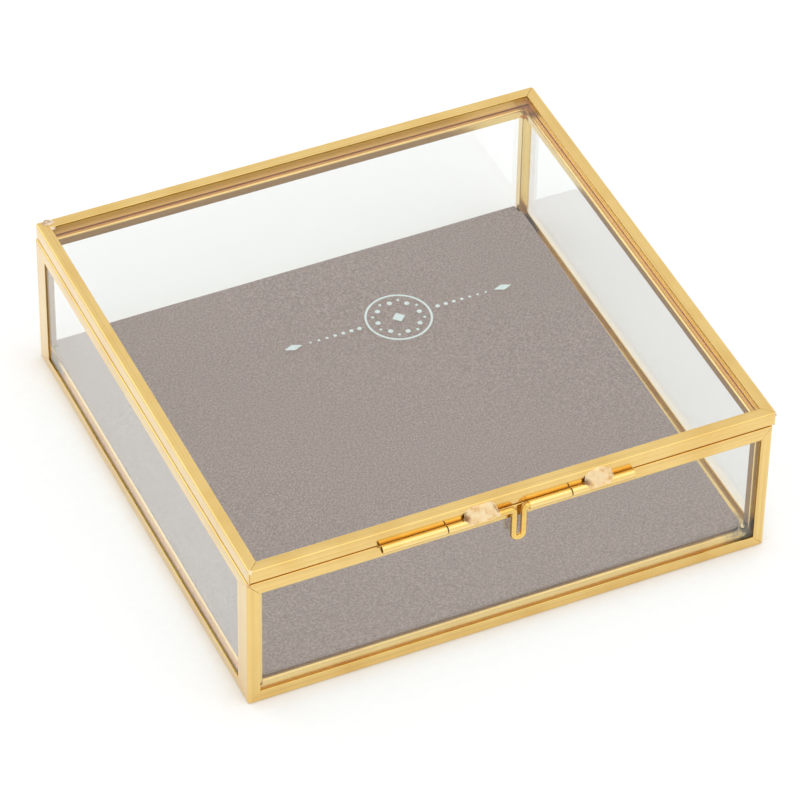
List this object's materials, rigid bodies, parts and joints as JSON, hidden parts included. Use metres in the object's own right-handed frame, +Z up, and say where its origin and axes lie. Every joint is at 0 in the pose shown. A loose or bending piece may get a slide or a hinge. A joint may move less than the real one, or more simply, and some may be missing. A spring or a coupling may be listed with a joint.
{
  "type": "glass casket box",
  "caption": "Flat square box of clear glass panes in folded brass strips, with a glazed lid hinged on a wire pin and a suede pad inside.",
  "frame": {"origin": "middle of the footprint, hinge included, on the ground", "axes": "+Z up, +X to the right along the hinge, -Y out of the hinge side"},
  "size_m": [0.2038, 0.204, 0.0646],
  "materials": {
    "lid_brass": "thin folded brass sheet, satin, lightly brushed along the strip",
    "rim_brass": "thin folded brass sheet, satin",
    "post_brass": "thin folded brass sheet, satin, darker inside the box",
    "tube_brass": "drawn brass tube, polished",
    "pin_brass": "drawn brass wire, polished",
    "solder": "plated solder, lumpy and matte",
    "wall_glass": "clear float glass",
    "lid_glass": "clear float glass with a pale print",
    "floor_glass": "clear float glass under the pad",
    "suede": "short taupe suede"
  },
  "bodies": {
    "base": {"post_front_left": "post_brass", "post_front_right": "post_brass", "post_back_left": "post_brass", "post_back_right": "post_brass", "base_top_rim_front": "rim_brass", "base_top_rim_back": "rim_brass", "base_top_rim_left": "rim_brass", "base_top_rim_right": "rim_brass", "base_bottom_rim_front": "rim_brass", "base_bottom_rim_back": "rim_brass", "base_bottom_rim_left": "rim_brass", "base_bottom_rim_right": "rim_brass", "pane_front": "wall_glass", "pane_back": "wall_glass", "pane_left": "wall_glass", "pane_right": "wall_glass", "bottom_panel": "floor_glass", "suede_pad": "suede", "hinge_tube_base_left": "tube_brass", "hinge_tube_base_middle": "tube_brass", "hinge_solder_base_left": "solder", "hinge_solder_base_middle": "solder", "base_corner_solder": "solder"},
    "lid": {"lid_strip_front": "lid_brass", "lid_strip_back": "lid_brass", "lid_strip_left": "lid_brass", "lid_strip_right": "lid_brass", "lid_glass": "lid_glass", "hinge_tube_lid_left": "tube_brass", "hinge_tube_lid_right": "tube_brass", "hinge_solder_lid_left": "solder", "hinge_solder_lid_right": "solder", "lid_corner_solder": "solder"},
    "pin": {"hinge_pin": "pin_brass"}
  },
  "joints": [
    {"name": "lid_hinge", "type": "hinge", "parent": "base", "child": "lid", "pos_m": [0, -0.10045, 0.0582], "axis": [1, 0, 0], "range_deg": [0, 115]},
    {"name": "pin_swing", "type": "hinge", "parent": "base", "child": "pin", "pos_m": [0, -0.10045, 0.0582], "axis": [-1, 0, 0], "range_deg": [0, 60]}
  ]
}
